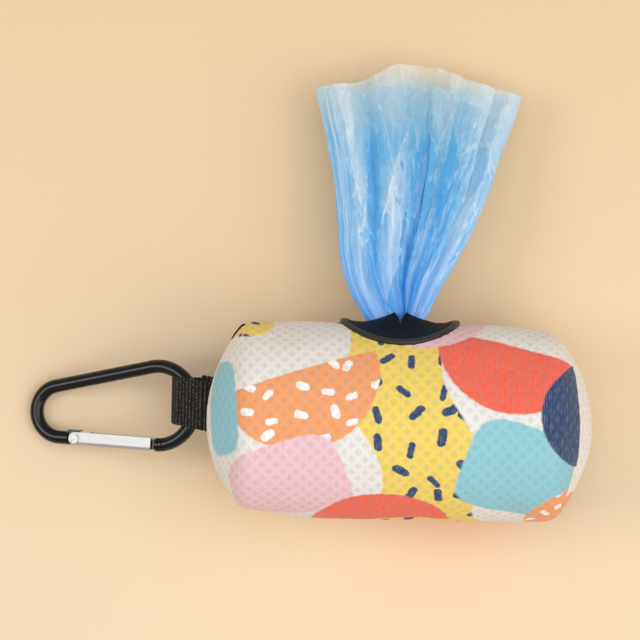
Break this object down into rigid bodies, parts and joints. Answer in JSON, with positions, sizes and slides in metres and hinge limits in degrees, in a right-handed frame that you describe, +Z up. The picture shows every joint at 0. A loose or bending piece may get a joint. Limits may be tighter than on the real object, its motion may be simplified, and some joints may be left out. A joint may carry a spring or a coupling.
{
  "type": "waste bag dispenser",
  "caption": "Round zipped mesh-fabric dispenser for rolled waste bags, with a rubber pull-through mouth, a webbing loop and a small carabiner.",
  "frame": {"origin": "middle of the flat strip that the case lies on, midway between its domed ends", "axes": "+X along the case, away from the strap; +Y out of the mouth; +Z up"},
  "size_m": [0.1398, 0.115, 0.0478],
  "materials": {
    "printed_mesh": "printed spacer mesh, matt, with small round holes",
    "lining_cloth": "plain woven lining, matt",
    "binding_tape": "woven tape, matt",
    "rim_rubber": "moulded, low sheen",
    "lip_rubber": "thin moulded sheet, matt",
    "zip_tape_cloth": "woven zip tape, matt",
    "zip_plastic": "moulded teeth",
    "slider_metal": "die cast and painted, low sheen",
    "webbing": "ribbed webbing, matt",
    "black_aluminium": "bent rod, black anodised, glossy",
    "gate_metal": "folded sheet, satin silver",
    "spring_steel": "drawn wire",
    "core_card": "spiral-wound card",
    "bag_film": "thin translucent film, creased"
  },
  "bodies": {
    "case": {"front_panel": "printed_mesh", "rear_panel": "printed_mesh", "front_lining": "lining_cloth", "rear_lining": "lining_cloth", "left_seam_binding": "binding_tape", "right_seam_binding": "binding_tape", "lower_seam_binding": "binding_tape", "mouth_rim": "rim_rubber", "mouth_membrane": "lip_rubber", "mouth_backing_ring": "rim_rubber", "zip_tape_upper": "zip_tape_cloth", "zip_tape_lower": "zip_tape_cloth", "zip_teeth_upper": "zip_plastic", "zip_teeth_lower": "zip_plastic", "zip_stops": "zip_plastic", "strap_tail": "webbing"},
    "slider": {"zip_slider": "slider_metal"},
    "puller": {"zip_puller": "slider_metal"},
    "strap": {"strap_loop": "webbing"},
    "carabiner": {"carabiner_frame": "black_aluminium"},
    "gate": {"carabiner_gate": "gate_metal", "gate_rivet": "gate_metal", "gate_spring": "spring_steel"},
    "plunger": {"gate_plunger": "gate_metal"},
    "bag": {"bag_strand": "bag_film", "pulled_bag": "bag_film"},
    "roll": {"roll_core": "core_card", "bag_roll": "bag_film"}
  },
  "joints": [
    {"name": "strap_flex", "type": "hinge", "parent": "case", "child": "strap", "pos_m": [-0.0485, 0.0032, 0.0235], "axis": [0, 1, 0], "range_deg": [0, 55], "stiffness_Nm_per_rad": 0.002},
    {"name": "carabiner_swing", "type": "hinge", "parent": "strap", "child": "carabiner", "pos_m": [-0.05182, 0.0032, 0.01666], "axis": [0, 1, 0], "range_deg": [-65, 50]},
    {"name": "gate_hinge", "type": "hinge", "parent": "carabiner", "child": "gate", "pos_m": [-0.08023, -0.0064, 0.00576], "axis": [-0.3584, 0, 0.9336], "range_deg": [0, 25], "stiffness_Nm_per_rad": 0.01, "springref_deg": -17.19},
    {"name": "plunger_slide", "type": "slide", "parent": "gate", "child": "plunger", "axis": [0.9328, -0.0405, 0.3581], "range_m": [0, 0.000808]},
    {"name": "zip_slide", "type": "slide", "parent": "case", "child": "slider", "axis": [-1, 0, 0], "range_m": [0, 0.0628]},
    {"name": "puller_flip", "type": "hinge", "parent": "slider", "child": "puller", "pos_m": [0.0314, 0.01501, 0.00351], "axis": [0, -0.7996, -0.6005], "range_deg": [0, 170]},
    {"name": "bag_pull", "type": "slide", "parent": "case", "child": "bag", "axis": [0, 0.975, -0.2224], "range_m": [0, 0.034]},
    {"name": "roll_spin", "type": "hinge", "parent": "case", "child": "roll", "pos_m": [0, 0, 0.016], "axis": [-1, 0, 0], "range_deg": [0, 149.86]}
  ],
  "couplings": [
    {"joint": "plunger_slide", "follows": "gate_hinge", "m_per_rad": 0.0018462},
    {"joint": "roll_spin", "follows": "bag_pull", "rad_per_m": 76.923}
  ]
}
